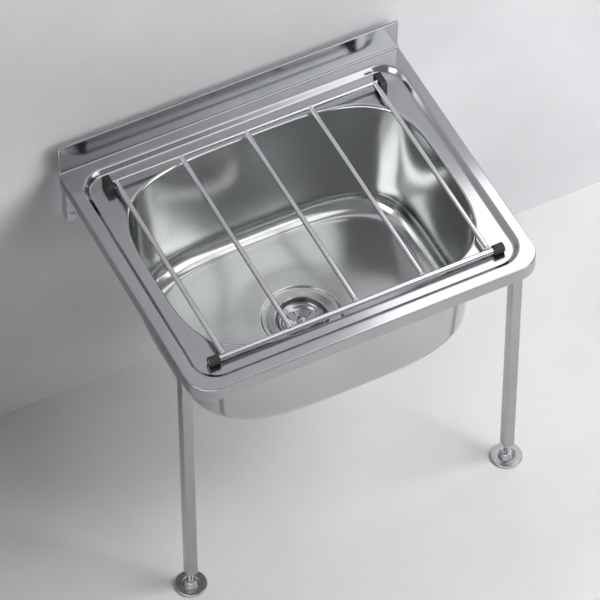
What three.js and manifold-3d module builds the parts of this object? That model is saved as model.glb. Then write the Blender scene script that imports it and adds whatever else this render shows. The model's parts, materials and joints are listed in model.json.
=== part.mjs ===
import * as THREE from 'three';
import { mergeVertices } from 'three/addons/utils/BufferGeometryUtils.js';
import Module from 'manifold-3d';

// Utility laundry sink with a hinged bucket grille. Millimetres, Z up, Y towards the wall.
// The origin lies on the wall plane, in the middle of the width, level with the rim.

// ---- driving dimensions ----
const WIDTH = 600;
const WALL_Y = 0;
const FRONT_Y = -520;
const RIM_Z = 0;
const FLOOR_Z = -582;
const SHEET = 1.5;
const GAP = 0.25;

const UPSTAND_FACE_Y = -22;
const UPSTAND_HEIGHT = 58;
const UPSTAND_RETURN = 5;
const SKIRT_HEIGHT = 26;
const DECK_BACK_Y = UPSTAND_FACE_Y + SHEET;
const CORNER_FRONT = 40;
const EDGE_RADIUS = 2.5;

const RECESS_HALF_X = 282;
const RECESS_BACK_Y = -42;
const RECESS_FRONT_Y = -500;
const RECESS_CORNER = 43;
const RECESS_RUN = 8;
const RECESS_DEPTH = 8.5;
const RECESS_Z = RIM_Z - RECESS_DEPTH;

const BOWL_Y = -275;
const BOWL_HALF_X = 258.5;
const BOWL_HALF_Y = 200;
const BOWL_POWER = 3.7;
const BOWL_DEPTH = 238;
const BOWL_BOTTOM_Z = RIM_Z - BOWL_DEPTH;
const BOWL_BOTTOM_RADIUS = 28;
const BOWL_DRAFT = 9.2;
const BEND_STEPS = 5;
const BEND_EASE = 0.3;
const LIP_RADIUS = 5;
const BOWL_FLANGE = 9;
const BOTTOM_FALL = 10;
const SUMP_RADIUS = 65;
const SUMP_RIM = SUMP_RADIUS + 3;
const SUMP_DEPTH = 3;
const SUMP_Z = BOWL_BOTTOM_Z - BOTTOM_FALL - SUMP_DEPTH;
const BOWL_BORE = 43;
const BASKET_DEPTH = 11;
const PLUG_DROP = 24.1;

const LEG_X = 289;
const LEG_Y = -450;
const LEG_SIZE = 18;
const LEG_WALL = 1.5;
const LEG_BOTTOM_Z = FLOOR_Z + 37;
const LEG_PLATE_T = 3;
const LEG_PLATE_HALF = 24;
const LEG_PLATE_INWARD = 17;
const INSERT_HEIGHT = 22;
const STUD_IN_LEG = 40;
const STUD_D = 10;
const PAD_D = 53;
const PAD_T = 4.5;
const HUB_D = 28;
const HUB_H = 14;
const HUB_TOP_Z = FLOOR_Z + HUB_H;

const HINGE_Y = -78;
const HINGE_Z = 4;
const BACK_ROD_D = 7;
const FRONT_ROD_D = 10;
const FRONT_ROD_Y = -466;
const BAR_D = 8.5;
const BAR_X = [-229, -114.5, 0, 114.5, 229];
const CAP_D = 16;
const CAP_Z = RECESS_Z + CAP_D / 2 + 0.15;
const CAP_IN_X = 237;
const CAP_OUT_X = 255;
const BLOCK_IN_X = 234.5;
const BLOCK_OUT_X = 245.5;
const BLOCK_FRONT_Y = -91;
const BLOCK_BACK_Y = -61.5;
const BLOCK_H = 18;

const BRACKET_X = 290;
const BRACKET_W = 16;
const BRACKET_BOTTOM_Z = -125;
const BRACKET_TOP_Z = -3.5;
const BRACKET_T = 2;
const BRACKET_HOLE_Z = [-60, -106];

// ---- helpers ----
const wasm = await Module();
wasm.setup();

const STEEL = { color: 0xa9abb1, roughness: 0.3, metalness: 1.0 };
const POLISHED = { color: 0xc4c6cb, roughness: 0.16, metalness: 1.0 };
const BLACK = { color: 0x1d1e20, roughness: 0.55, metalness: 0.0 };
const RUBBER = { color: 0x26272a, roughness: 0.8, metalness: 0.0 };
const GREY_PLASTIC = { color: 0x8f9196, roughness: 0.5, metalness: 0.0 };

const root = new THREE.Group();
root.name = 'utility_sink';

function addNode(name, geometry, look) {
  const mesh = new THREE.Mesh(geometry, new THREE.MeshStandardMaterial(look));
  mesh.name = name;
  root.add(mesh);
  return mesh;
}

function toManifold(geometry) {
  const g = geometry.clone();
  g.deleteAttribute('normal');
  g.deleteAttribute('uv');
  const m = mergeVertices(g, 1e-4);
  const pos = m.getAttribute('position').array;
  const idx = m.getIndex().array;
  const mesh = new wasm.Mesh({
    numProp: 3,
    vertProperties: new Float32Array(pos),
    triVerts: new Uint32Array(idx),
  });
  return new wasm.Manifold(mesh);
}

function fromManifold(manifold) {
  const mesh = manifold.getMesh();
  const g = new THREE.BufferGeometry();
  g.setAttribute('position', new THREE.BufferAttribute(new Float32Array(mesh.vertProperties), 3));
  g.setIndex(new THREE.BufferAttribute(new Uint32Array(mesh.triVerts), 1));
  const flat = g.toNonIndexed();
  flat.computeVertexNormals();
  return flat;
}

function boxBetween(x0, x1, y0, y1, z0, z1) {
  const g = new THREE.BoxGeometry(x1 - x0, y1 - y0, z1 - z0);
  g.translate((x0 + x1) / 2, (y0 + y1) / 2, (z0 + z1) / 2);
  return g;
}

function rodAlongX(d, x0, x1, y, z, segments = 24) {
  const g = new THREE.CylinderGeometry(d / 2, d / 2, x1 - x0, segments);
  g.rotateZ(-Math.PI / 2);
  g.translate((x0 + x1) / 2, y, z);
  return g;
}

function rodAlongY(d, y0, y1, x, z, segments = 20) {
  const g = new THREE.CylinderGeometry(d / 2, d / 2, y1 - y0, segments);
  g.translate(x, (y0 + y1) / 2, z);
  return g;
}

function rodAlongZ(d, z0, z1, x, y, segments = 28) {
  const g = new THREE.CylinderGeometry(d / 2, d / 2, z1 - z0, segments);
  g.rotateX(Math.PI / 2);
  g.translate(x, y, (z0 + z1) / 2);
  return g;
}

function latheZ(points, x, y, segments = 44) {
  let area = 0;
  points.forEach(([r, z], i) => {
    const [r1, z1] = points[(i + 1) % points.length];
    area += r * z1 - r1 * z;
  });
  const ordered = area > 0 ? points : points.slice().reverse();
  const g = new THREE.LatheGeometry(ordered.map(([r, z]) => new THREE.Vector2(r, z)), segments);
  g.rotateX(Math.PI / 2);
  g.translate(x, y, 0);
  return fromManifold(toManifold(g));
}

// Closed surface through a list of loops that share one point count. The last loop joins the first.
function ringSurface(loops) {
  const n = loops[0].length;
  const pos = [];
  const idx = [];
  for (const loop of loops) {
    for (const p of loop) pos.push(p[0], p[1], p[2]);
  }
  for (let k = 0; k < loops.length; k += 1) {
    const a = k * n;
    const b = ((k + 1) % loops.length) * n;
    for (let i = 0; i < n; i += 1) {
      const j = (i + 1) % n;
      idx.push(a + i, a + j, b + j);
      idx.push(a + i, b + j, b + i);
    }
  }
  const g = new THREE.BufferGeometry();
  g.setAttribute('position', new THREE.Float32BufferAttribute(pos, 3));
  g.setIndex(idx);
  return g;
}

// ---- plan outlines, sampled on rays from the bowl centre ----
function roundedRect(x0, x1, y0, y1, rFront, rBack) {
  return (x, y) => {
    if (x < x0 || x > x1 || y < y0 || y > y1) return false;
    const r = y < (y0 + y1) / 2 ? rFront : rBack;
    const cx = x < x0 + r ? x0 + r : (x > x1 - r ? x1 - r : x);
    const cy = y < y0 + r ? y0 + r : (y > y1 - r ? y1 - r : y);
    return Math.hypot(x - cx, y - cy) <= r + 1e-9 || (cx === x || cy === y);
  };
}

function superEllipse(a, b, n) {
  return (x, y) => Math.abs(x / a) ** n + Math.abs((y - BOWL_Y) / b) ** n <= 1;
}

function circle(r) {
  return (x, y) => Math.hypot(x, y - BOWL_Y) <= r;
}

function angleList() {
  const list = [];
  const corner = (x0, y0, sx, sy, r, steps) => {
    for (let k = 0; k <= steps; k += 1) {
      const t = (k / steps) * Math.PI / 2;
      const x = x0 - sx * r + sx * r * Math.cos(t);
      const y = y0 - sy * r + sy * r * Math.sin(t);
      list.push(Math.atan2(y - BOWL_Y, x));
    }
  };
  corner(WIDTH / 2, FRONT_Y, 1, -1, CORNER_FRONT, 7);
  corner(-WIDTH / 2, FRONT_Y, -1, -1, CORNER_FRONT, 7);
  corner(RECESS_HALF_X, RECESS_BACK_Y, 1, 1, RECESS_CORNER, 7);
  corner(-RECESS_HALF_X, RECESS_BACK_Y, -1, 1, RECESS_CORNER, 7);
  list.push(Math.atan2(DECK_BACK_Y - BOWL_Y, WIDTH / 2));
  list.push(Math.atan2(DECK_BACK_Y - BOWL_Y, -WIDTH / 2));
  for (let k = 0; k < 56; k += 1) list.push(-Math.PI + (k + 0.5) * Math.PI / 28);
  list.sort((p, q) => p - q);
  return list.filter((v, i) => i === 0 || v - list[i - 1] > 0.016);
}

const ANGLES = angleList();

function loopOf(inside, z) {
  return ANGLES.map((t) => {
    const c = Math.cos(t);
    const s = Math.sin(t);
    let lo = 0;
    let hi = 700;
    for (let k = 0; k < 46; k += 1) {
      const mid = (lo + hi) / 2;
      if (inside(mid * c, BOWL_Y + mid * s)) lo = mid;
      else hi = mid;
    }
    return [lo * c, BOWL_Y + lo * s, z];
  });
}

// ---- sink top: border, stepped recess, skirt and upstand in one folded sheet ----
const deckLoop = (inset, z) => loopOf(
  roundedRect(
    -WIDTH / 2 + inset, WIDTH / 2 - inset, FRONT_Y + inset, DECK_BACK_Y - inset,
    CORNER_FRONT - inset, 0.01,
  ), z);
const recessLoop = (inset, z) => loopOf(
  roundedRect(
    -RECESS_HALF_X + inset, RECESS_HALF_X - inset, RECESS_FRONT_Y + inset, RECESS_BACK_Y - inset,
    RECESS_CORNER - inset, RECESS_CORNER - inset,
  ), z);
const bowlLoop = (inset, z, power = BOWL_POWER) => loopOf(
  superEllipse(BOWL_HALF_X - inset, BOWL_HALF_Y - inset, power), z);

const topLoops = [
  deckLoop(0, RIM_Z - SKIRT_HEIGHT),
  deckLoop(0, RIM_Z - EDGE_RADIUS),
  deckLoop(0.3 * EDGE_RADIUS, RIM_Z - 0.3 * EDGE_RADIUS),
  deckLoop(EDGE_RADIUS, RIM_Z),
  recessLoop(-1.2, RIM_Z),
  recessLoop(0.6, RIM_Z - 0.9),
  recessLoop(RECESS_RUN - 0.8, RECESS_Z + 0.9),
  recessLoop(RECESS_RUN + 1.2, RECESS_Z),
  bowlLoop(0, RECESS_Z),
];
const underLoops = [
  bowlLoop(0, RECESS_Z - SHEET),
  recessLoop(RECESS_RUN + 0.6, RECESS_Z - SHEET),
  recessLoop(RECESS_RUN - 2.0, RECESS_Z - 0.2),
  recessLoop(-0.6, RIM_Z - SHEET - 0.5),
  recessLoop(-2.0, RIM_Z - SHEET),
  deckLoop(EDGE_RADIUS, RIM_Z - SHEET),
  deckLoop(SHEET, RIM_Z - EDGE_RADIUS),
  deckLoop(SHEET, RIM_Z - SKIRT_HEIGHT),
];
let sinkTop = toManifold(ringSurface([...topLoops, ...underLoops]));
const upstand = boxBetween(
  -WIDTH / 2, WIDTH / 2, UPSTAND_FACE_Y, UPSTAND_FACE_Y + UPSTAND_RETURN, RIM_Z - SHEET, RIM_Z + UPSTAND_HEIGHT);
const upstandBack = boxBetween(
  -WIDTH / 2 + SHEET, WIDTH / 2 - SHEET, DECK_BACK_Y, UPSTAND_FACE_Y + UPSTAND_RETURN + 1,
  RIM_Z - SHEET - 1, RIM_Z + UPSTAND_HEIGHT - SHEET);
sinkTop = sinkTop.add(toManifold(upstand).subtract(toManifold(upstandBack)));
addNode('sink_top', fromManifold(sinkTop), STEEL);

// ---- deep drawn bowl: one pressing, held as three shells that follow each other with a hair gap ----
const wallTopInset = LIP_RADIUS + GAP;
const wallFootInset = wallTopInset + BOWL_DRAFT;
const wallFootZ = BOWL_BOTTOM_Z + BOWL_BOTTOM_RADIUS;
const joggleZ = RECESS_Z - SHEET - GAP;
const sumpRimZ = BOWL_BOTTOM_Z - BOTTOM_FALL;

function quarterTurn(steps) {
  return Array.from({ length: steps }, (_, k) => ((k + 1) / steps) * Math.PI / 2);
}

// joggled flange under the deck, lip and drafted walls
const wallShell = [
  bowlLoop(-BOWL_FLANGE, joggleZ),
  bowlLoop(GAP, joggleZ),
  bowlLoop(GAP, RECESS_Z),
  ...quarterTurn(3).map((t) => bowlLoop(
    GAP + LIP_RADIUS * Math.sin(t), RECESS_Z - LIP_RADIUS * (1 - Math.cos(t)))),
  bowlLoop(wallFootInset, wallFootZ),
  bowlLoop(wallFootInset - SHEET, wallFootZ),
  bowlLoop(wallTopInset - SHEET, joggleZ - SHEET - 2),
  bowlLoop(wallTopInset - SHEET - 2, joggleZ - SHEET),
  bowlLoop(-BOWL_FLANGE, joggleZ - SHEET),
];
addNode('bowl', fromManifold(toManifold(ringSurface(wallShell))), STEEL);

// large bottom radius, and the floor that falls to the sump
const bendLoop = (t, radius, footInset) => bowlLoop(
  footInset + radius * (1 - Math.cos(t)), wallFootZ - GAP - radius * Math.sin(t),
  BOWL_POWER - BEND_EASE * (t / (Math.PI / 2)));
const bend = [0, ...quarterTurn(BEND_STEPS)];
const bottomShell = [
  ...bend.map((t) => bendLoop(t, BOWL_BOTTOM_RADIUS - GAP, wallFootInset)),
  loopOf(circle(SUMP_RIM), sumpRimZ),
  loopOf(circle(SUMP_RIM), sumpRimZ - SHEET),
  ...bend.reverse().map((t) => bendLoop(t, BOWL_BOTTOM_RADIUS - GAP + SHEET, wallFootInset - SHEET)),
];
addNode('bowl_bottom', fromManifold(toManifold(ringSurface(bottomShell))), STEEL);

// pressed sump that the waste sits in
const sumpShell = [
  [SUMP_RIM - GAP, sumpRimZ], [SUMP_RADIUS, sumpRimZ - 0.7], [SUMP_RADIUS - 2, SUMP_Z], [BOWL_BORE, SUMP_Z],
  [BOWL_BORE, SUMP_Z - SHEET], [SUMP_RADIUS - 1.5, SUMP_Z - SHEET],
  [SUMP_RADIUS + 1.5, sumpRimZ - SHEET - 0.7], [SUMP_RIM - GAP, sumpRimZ - SHEET],
].map(([r, z]) => loopOf(circle(r), z));
addNode('bowl_sump', fromManifold(toManifold(ringSurface(sumpShell))), STEEL);

// ---- basket strainer waste, on the bowl centre ----
const WASTE_Y = BOWL_Y;
const FZ = SUMP_Z + 1;
const body = [
  [57, FZ + 0.2], [56.4, FZ + 1.2], [44.5, FZ + 1.9], [42.6, FZ + 1.2], [41.5, FZ - 0.8],
  [40, FZ - 8], [34.6, FZ - 11.9], [33, FZ - 14], [32, FZ - 48], [29, FZ - 51], [21.5, FZ - 53],
  [19.5, FZ - 55], [19.5, FZ - 88], [23.8, FZ - 88], [23.8, FZ - 58], [25.5, FZ - 55], [31, FZ - 53],
  [34, FZ - 49], [35, FZ - 16.2], [41.6, FZ - 9.6], [42.6, FZ - 4], [42.7, FZ - 1], [43.2, FZ],
  [57, FZ + 0.2],
];
addNode('waste_body', latheZ(body, 0, WASTE_Y), POLISHED);
const ringProfile = (r0, r1, z0, z1) => [[r0, z0], [r1, z0], [r1, z1], [r0, z1], [r0, z0]];
const underZ = SUMP_Z - SHEET;
addNode('flange_seal', latheZ(ringProfile(43.6, 55.5, SUMP_Z + 0.1, FZ - 0.1), 0, WASTE_Y), RUBBER);
addNode('under_seal', latheZ(ringProfile(43.4, 58, underZ - 3.1, underZ - 0.1), 0, WASTE_Y), RUBBER);
addNode('slip_ring', latheZ(ringProfile(43.4, 58, underZ - 4.6, underZ - 3.3), 0, WASTE_Y), GREY_PLASTIC);
const nutProfile = [
  [43.4, underZ - 4.8], [59, underZ - 4.8], [59, underZ - 9], [52, underZ - 10], [51, underZ - 17.5],
  [35.6, underZ - 17.5], [35.6, underZ - 13.5], [43.4, underZ - 13.5], [43.4, underZ - 4.8],
];
let backNut = toManifold(latheZ(nutProfile, 0, WASTE_Y));
for (let k = 0; k < 8; k += 1) {
  const t = (k / 8) * Math.PI * 2;
  const notch = boxBetween(55.5, 61, -4, 4, underZ - 12, underZ);
  notch.rotateZ(t);
  notch.translate(0, WASTE_Y, 0);
  backNut = backNut.subtract(toManifold(notch));
}
addNode('back_nut', fromManifold(backNut), POLISHED);

const basketZ = FZ - BASKET_DEPTH;
const basketProfile = [
  [3.2, basketZ - 8], [12, basketZ - 8], [16, basketZ - 6.5], [30.5, basketZ - 1.2], [33.4, basketZ + 1.2],
  [36.6, basketZ + 2.6], [37.5, basketZ + 2.0], [36.9, basketZ + 1.2], [34.6, basketZ + 0.2],
  [31.6, basketZ - 3.0], [16.8, basketZ - 8.2], [12.6, basketZ - 9.4], [3.2, basketZ - 9.4],
  [3.2, basketZ - 8],
];
let basket = toManifold(latheZ(basketProfile, 0, WASTE_Y, 48));
for (let k = 0; k < 12; k += 1) {
  const slot = boxBetween(17.5, 29.5, -1.4, 1.4, basketZ - 14, basketZ + 6);
  slot.rotateZ((k / 12) * Math.PI * 2);
  slot.translate(0, WASTE_Y, 0);
  basket = basket.subtract(toManifold(slot));
}
addNode('basket', fromManifold(basket), POLISHED);
const knobProfile = [
  [0, basketZ + 12.5], [2.5, basketZ + 12.3], [6.5, basketZ + 11], [9.2, basketZ + 8.2],
  [9.5, basketZ + 6.4], [8.6, basketZ + 5.2], [4.2, basketZ + 4.4], [4.2, basketZ - 7.7],
  [2.9, basketZ - 7.7], [2.9, basketZ - PLUG_DROP], [0, basketZ - PLUG_DROP],
];
addNode('basket_knob', latheZ(knobProfile, 0, WASTE_Y, 28), POLISHED);
const plugZ = basketZ - PLUG_DROP - GAP;
const plugSealProfile = [
  [0, plugZ], [13, plugZ], [15, plugZ - 1.2], [14.4, plugZ - 3.2], [6, plugZ - 3.8], [0, plugZ - 3.8],
];
addNode('basket_seal', latheZ(plugSealProfile, 0, WASTE_Y, 32), RUBBER);

// ---- wall brackets and their screws ----
function bracketProfile() {
  const s = new THREE.Shape();
  const yf = DECK_BACK_Y + 0.3;
  const yb = WALL_Y;
  const xo = BRACKET_X;
  const t = BRACKET_T;
  s.moveTo(xo - BRACKET_W, yf);
  s.lineTo(xo, yf);
  s.lineTo(xo, yb);
  s.lineTo(xo - 18, yb);
  s.lineTo(xo - 18, yb - t);
  s.lineTo(xo - t, yb - t);
  s.lineTo(xo - t, yf + t);
  s.lineTo(xo - BRACKET_W, yf + t);
  s.closePath();
  return s;
}

for (const side of [-1, 1]) {
  const word = side < 0 ? 'left' : 'right';
  const g = new THREE.ExtrudeGeometry(bracketProfile(), {
    depth: BRACKET_TOP_Z - BRACKET_BOTTOM_Z, bevelEnabled: false,
  });
  g.translate(0, 0, BRACKET_BOTTOM_Z);
  if (side < 0) g.rotateY(Math.PI);
  if (side < 0) g.translate(0, 0, BRACKET_TOP_Z + BRACKET_BOTTOM_Z);
  let solid = toManifold(g);
  const x = side * (BRACKET_X - 9);
  for (const z of BRACKET_HOLE_Z) {
    solid = solid.subtract(toManifold(rodAlongY(9, -24, -14, x, z)));
    solid = solid.subtract(toManifold(rodAlongY(6, -8, 4, x, z)));
  }
  addNode(`${word}_wall_bracket`, fromManifold(solid), STEEL);
  BRACKET_HOLE_Z.forEach((z, i) => {
    const head = toManifold(rodAlongY(8.4, -5.8, -2.2, x, z, 6));
    const shank = toManifold(rodAlongY(5.2, -3, -0.1, x, z, 16));
    addNode(`${word}_wall_screw_${i + 1}`, fromManifold(head.add(shank)), STEEL);
  });
}

// ---- front legs, end inserts, studs and pads ----
function squareTube(x, y, size, wall, z0, z1) {
  const s = new THREE.Shape();
  const h = size / 2;
  const r = 1.5;
  const ring = (target, half, rad) => {
    target.moveTo(-half + rad, -half);
    target.lineTo(half - rad, -half);
    target.absarc(half - rad, -half + rad, rad, -Math.PI / 2, 0, false);
    target.lineTo(half, half - rad);
    target.absarc(half - rad, half - rad, rad, 0, Math.PI / 2, false);
    target.lineTo(-half + rad, half);
    target.absarc(-half + rad, half - rad, rad, Math.PI / 2, Math.PI, false);
    target.lineTo(-half, -half + rad);
    target.absarc(-half + rad, -half + rad, rad, Math.PI, 1.5 * Math.PI, false);
    return target;
  };
  ring(s, h, r);
  if (wall > 0) s.holes.push(ring(new THREE.Path(), h - wall, 0.5));
  const g = new THREE.ExtrudeGeometry(s, { depth: z1 - z0, bevelEnabled: false, curveSegments: 4 });
  g.translate(x, y, z0);
  return g;
}

const plateTopZ = RECESS_Z - SHEET - 0.2;
const legTopZ = plateTopZ - LEG_PLATE_T - 0.2;
for (const side of [-1, 1]) {
  const word = side < 0 ? 'left' : 'right';
  const x = side * LEG_X;
  const plateX0 = Math.min(x + side * LEG_SIZE / 2, x - side * LEG_PLATE_INWARD);
  const plateX1 = Math.max(x + side * LEG_SIZE / 2, x - side * LEG_PLATE_INWARD);
  addNode(`${word}_leg_plate`, boxBetween(
    plateX0, plateX1, LEG_Y - LEG_PLATE_HALF, LEG_Y + LEG_PLATE_HALF, plateTopZ - LEG_PLATE_T, plateTopZ), STEEL);
  addNode(`${word}_leg`, squareTube(x, LEG_Y, LEG_SIZE, LEG_WALL, LEG_BOTTOM_Z, legTopZ), STEEL);
  const insert = toManifold(squareTube(x, LEG_Y, LEG_SIZE - 2 * LEG_WALL - 0.4, 0,
    LEG_BOTTOM_Z, LEG_BOTTOM_Z + INSERT_HEIGHT));
  const bore = toManifold(rodAlongZ(STUD_D + 0.6, LEG_BOTTOM_Z - 1, LEG_BOTTOM_Z + INSERT_HEIGHT + 1, x, LEG_Y));
  addNode(`${word}_leg_insert`, fromManifold(insert.subtract(bore)), STEEL);
  addNode(`${word}_foot_stud`, rodAlongZ(STUD_D, HUB_TOP_Z + 0.2, LEG_BOTTOM_Z + STUD_IN_LEG, x, LEG_Y), STEEL);
  const pad = [
    [0, 0], [PAD_D / 2 - 1, 0], [PAD_D / 2, 1], [PAD_D / 2, PAD_T - 1.5], [PAD_D / 2 - 1.5, PAD_T],
    [HUB_D / 2 + 1, PAD_T + 0.6], [HUB_D / 2, PAD_T + 1.6], [HUB_D / 2 - 3.5, HUB_H - 1],
    [HUB_D / 2 - 5, HUB_H], [0, HUB_H],
  ].map(([r, z]) => [r, z + FLOOR_Z]);
  addNode(`${word}_foot_pad`, latheZ(pad, x, LEG_Y, 40), STEEL);
}

// ---- hinge blocks ----
for (const side of [-1, 1]) {
  const word = side < 0 ? 'left' : 'right';
  const s = new THREE.Shape();
  const y0 = BLOCK_FRONT_Y;
  const y1 = BLOCK_BACK_Y;
  const z0 = RECESS_Z + 0.15;
  const z1 = RECESS_Z + BLOCK_H;
  const r = 1.2;
  s.moveTo(y0, z0);
  s.lineTo(y1, z0);
  s.lineTo(y1, z1 - r);
  s.absarc(y1 - r, z1 - r, r, 0, Math.PI / 2, false);
  s.lineTo(y0 + r, z1);
  s.absarc(y0 + r, z1 - r, r, Math.PI / 2, Math.PI, false);
  s.closePath();
  const bore = new THREE.Path();
  bore.absarc(HINGE_Y, HINGE_Z, BACK_ROD_D / 2 + 0.3, 0, Math.PI * 2, true);
  s.holes.push(bore);
  const g = new THREE.ExtrudeGeometry(s, {
    depth: BLOCK_OUT_X - BLOCK_IN_X, bevelEnabled: false, curveSegments: 14,
  });
  // profile (u, v, w) is laid to (y, z, x)
  const m = new THREE.Matrix4().set(0, 0, 1, 0, 1, 0, 0, 0, 0, 1, 0, 0, 0, 0, 0, 1);
  g.applyMatrix4(m);
  g.translate(side < 0 ? -BLOCK_OUT_X : BLOCK_IN_X, 0, 0);
  addNode(`${word}_hinge_block`, g, BLACK);
}

// ---- bucket grille ----
addNode('back_rod', rodAlongX(BACK_ROD_D, -BLOCK_OUT_X + 3.5, BLOCK_OUT_X - 3.5, HINGE_Y, HINGE_Z), POLISHED);
addNode('front_rod', rodAlongX(FRONT_ROD_D, -CAP_OUT_X + 0.6, CAP_OUT_X - 0.6, FRONT_ROD_Y, CAP_Z), POLISHED);
const backCope = toManifold(rodAlongX(BACK_ROD_D + 2 * GAP, -260, 260, HINGE_Y, HINGE_Z));
const frontCope = toManifold(rodAlongX(FRONT_ROD_D + 2 * GAP, -260, 260, FRONT_ROD_Y, CAP_Z));
BAR_X.forEach((x, i) => {
  const bar = toManifold(rodAlongY(BAR_D, FRONT_ROD_Y + 3.4, HINGE_Y - 0.1, x, HINGE_Z, 18));
  addNode(`grille_bar_${i + 1}`, fromManifold(bar.subtract(backCope).subtract(frontCope)), POLISHED);
});
for (const side of [-1, 1]) {
  const word = side < 0 ? 'left' : 'right';
  const sleeve = toManifold(rodAlongX(CAP_D, -9, 9, 0, 0, 36));
  const bore = toManifold(rodAlongX(FRONT_ROD_D + 0.5, -10, 10, 0, 0, 36));
  const g = fromManifold(sleeve.subtract(bore));
  g.translate(side * (CAP_IN_X + CAP_OUT_X) / 2, FRONT_ROD_Y, CAP_Z);
  addNode(`${word}_rod_cap`, g, RUBBER);
}

export default root;
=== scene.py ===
# %% [markdown]
# # A wall-hung laundry sink
# The real sink is a folded sheet steel top with an upstand, a deep drawn bowl welded into it, a hinged
# grille that carries a bucket, a basket strainer, two wall brackets and two front legs with screw feet.
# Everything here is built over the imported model, in its frame: X to the right, Y towards the wall, Z up,
# with the origin on the wall plane at rim level. Reading the sizes from that model, instead of writing
# them down again, keeps every new piece exactly where the part has it.

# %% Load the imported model
import json
import math

import bmesh
import bpy
from mathutils import Matrix, Vector


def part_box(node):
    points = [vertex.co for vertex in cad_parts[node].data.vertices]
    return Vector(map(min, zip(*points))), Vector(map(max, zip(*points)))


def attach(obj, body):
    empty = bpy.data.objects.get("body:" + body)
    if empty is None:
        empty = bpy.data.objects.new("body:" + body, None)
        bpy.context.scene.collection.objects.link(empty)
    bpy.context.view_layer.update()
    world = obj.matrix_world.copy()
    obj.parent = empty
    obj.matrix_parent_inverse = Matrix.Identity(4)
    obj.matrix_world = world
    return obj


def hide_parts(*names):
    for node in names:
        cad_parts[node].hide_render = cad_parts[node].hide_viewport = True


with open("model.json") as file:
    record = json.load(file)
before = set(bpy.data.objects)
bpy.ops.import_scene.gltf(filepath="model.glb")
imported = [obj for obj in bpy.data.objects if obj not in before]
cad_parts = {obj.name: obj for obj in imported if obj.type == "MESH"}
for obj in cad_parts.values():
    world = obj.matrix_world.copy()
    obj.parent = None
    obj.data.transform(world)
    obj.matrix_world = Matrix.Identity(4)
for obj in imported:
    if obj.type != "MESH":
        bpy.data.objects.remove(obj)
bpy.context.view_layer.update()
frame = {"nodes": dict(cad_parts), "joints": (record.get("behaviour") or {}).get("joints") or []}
nodes = frame["nodes"]
scene = bpy.context.scene
MM = 0.001

# %% [markdown]
# ## Sizes that every piece shares
# A sheet metal product is drawn from a few numbers: the gauge of the sheet, the outside of the top, the
# depth of the pressed recess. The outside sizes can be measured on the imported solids, and only what a
# box doesn't show, such as the gauge or the width of a flange, is stated here.

# %% Measure the frame
SHEET = 1.5 * MM
RETURN = 5 * MM  # how far the upstand's top edge is folded back
FLANGE = 9 * MM  # the bowl's outer edge, which lies under the deck
RECESS_DEPTH = 8.5 * MM

top_low, top_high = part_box("sink_top")
bowl_low, bowl_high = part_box("bowl")
UPSTAND_Y = top_high.y - RETURN
LIP_Z = bowl_high.z
BOWL_CENTRE = Vector((0, (bowl_low.y + bowl_high.y) / 2, 0))
BOWL_HALF = Vector((bowl_high.x - FLANGE, (bowl_high.y - bowl_low.y) / 2 - FLANGE))
SUMP_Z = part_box("bowl_sump")[0].z + SHEET
FLOOR_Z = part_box("left_foot_pad")[0].z
print("opening in mm:", [round(2 * x / MM) for x in BOWL_HALF], "floor at", round(FLOOR_Z / MM))

# %% [markdown]
# ## Finishes
# Most of the metal here is stainless steel, so the base colour changes little: what tells the pieces
# apart is how finely they were ground. A Principled shader with metallic 1 does that. Three noises on
# the object's own coordinates, which move with the piece, keep it from looking computed: a broad one
# clouds the colour, a finer one varies the polish, and a stretched one gives the grain. The grain's bump
# is kept very weak, because on polished metal even a little makes blotches.

# %% Helper that starts a finish
def new_finish(name, colour, metallic, roughness):
    """Makes a material, and gives its node tree and its shader too."""
    material = bpy.data.materials.new(name)
    material.use_nodes = True
    shader = material.node_tree.nodes["Principled BSDF"]
    shader.inputs["Base Color"].default_value = (*colour, 1)
    shader.inputs["Metallic"].default_value = metallic
    shader.inputs["Roughness"].default_value = roughness
    return material, material.node_tree, shader


# %% Helpers that vary a finish
NOISE_LOW, NOISE_HIGH = 0.3, 0.7  # a noise seldom leaves this range
DARK_STOP, LIGHT_STOP = 0.35, 0.65


def add_noise(tree, scale, detail=3.0, stretch=(1, 1, 1)):
    """A small number in stretch draws the noise out along that axis."""
    where = tree.nodes.new("ShaderNodeTexCoord")
    mapping = tree.nodes.new("ShaderNodeMapping")
    noise = tree.nodes.new("ShaderNodeTexNoise")
    mapping.inputs["Scale"].default_value = stretch
    noise.inputs["Scale"].default_value = scale
    noise.inputs["Detail"].default_value = detail
    tree.links.new(where.outputs["Object"], mapping.inputs["Vector"])
    tree.links.new(mapping.outputs["Vector"], noise.inputs["Vector"])
    return noise.outputs["Fac"]


def spread(tree, value, low, high):
    """Spreads a noise over the range from low to high."""
    ranged = tree.nodes.new("ShaderNodeMapRange")
    ranged.inputs["From Min"].default_value = NOISE_LOW
    ranged.inputs["From Max"].default_value = NOISE_HIGH
    ranged.inputs["To Min"].default_value = low
    ranged.inputs["To Max"].default_value = high
    tree.links.new(value, ranged.inputs["Value"])
    return ranged.outputs["Result"]


def tint(tree, value, dark, light):
    """Turns a noise into a colour between dark and light."""
    ramp = tree.nodes.new("ShaderNodeValToRGB")
    ramp.color_ramp.elements[0].position = DARK_STOP
    ramp.color_ramp.elements[0].color = (*dark, 1)
    ramp.color_ramp.elements[1].position = LIGHT_STOP
    ramp.color_ramp.elements[1].color = (*light, 1)
    tree.links.new(value, ramp.inputs["Fac"])
    return ramp.outputs["Color"]


def add_bump(tree, shader, height, strength, distance):
    bump = tree.nodes.new("ShaderNodeBump")
    bump.inputs["Strength"].default_value = strength
    bump.inputs["Distance"].default_value = distance
    tree.links.new(height, bump.inputs["Height"])
    tree.links.new(bump.outputs["Normal"], shader.inputs["Normal"])


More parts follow.
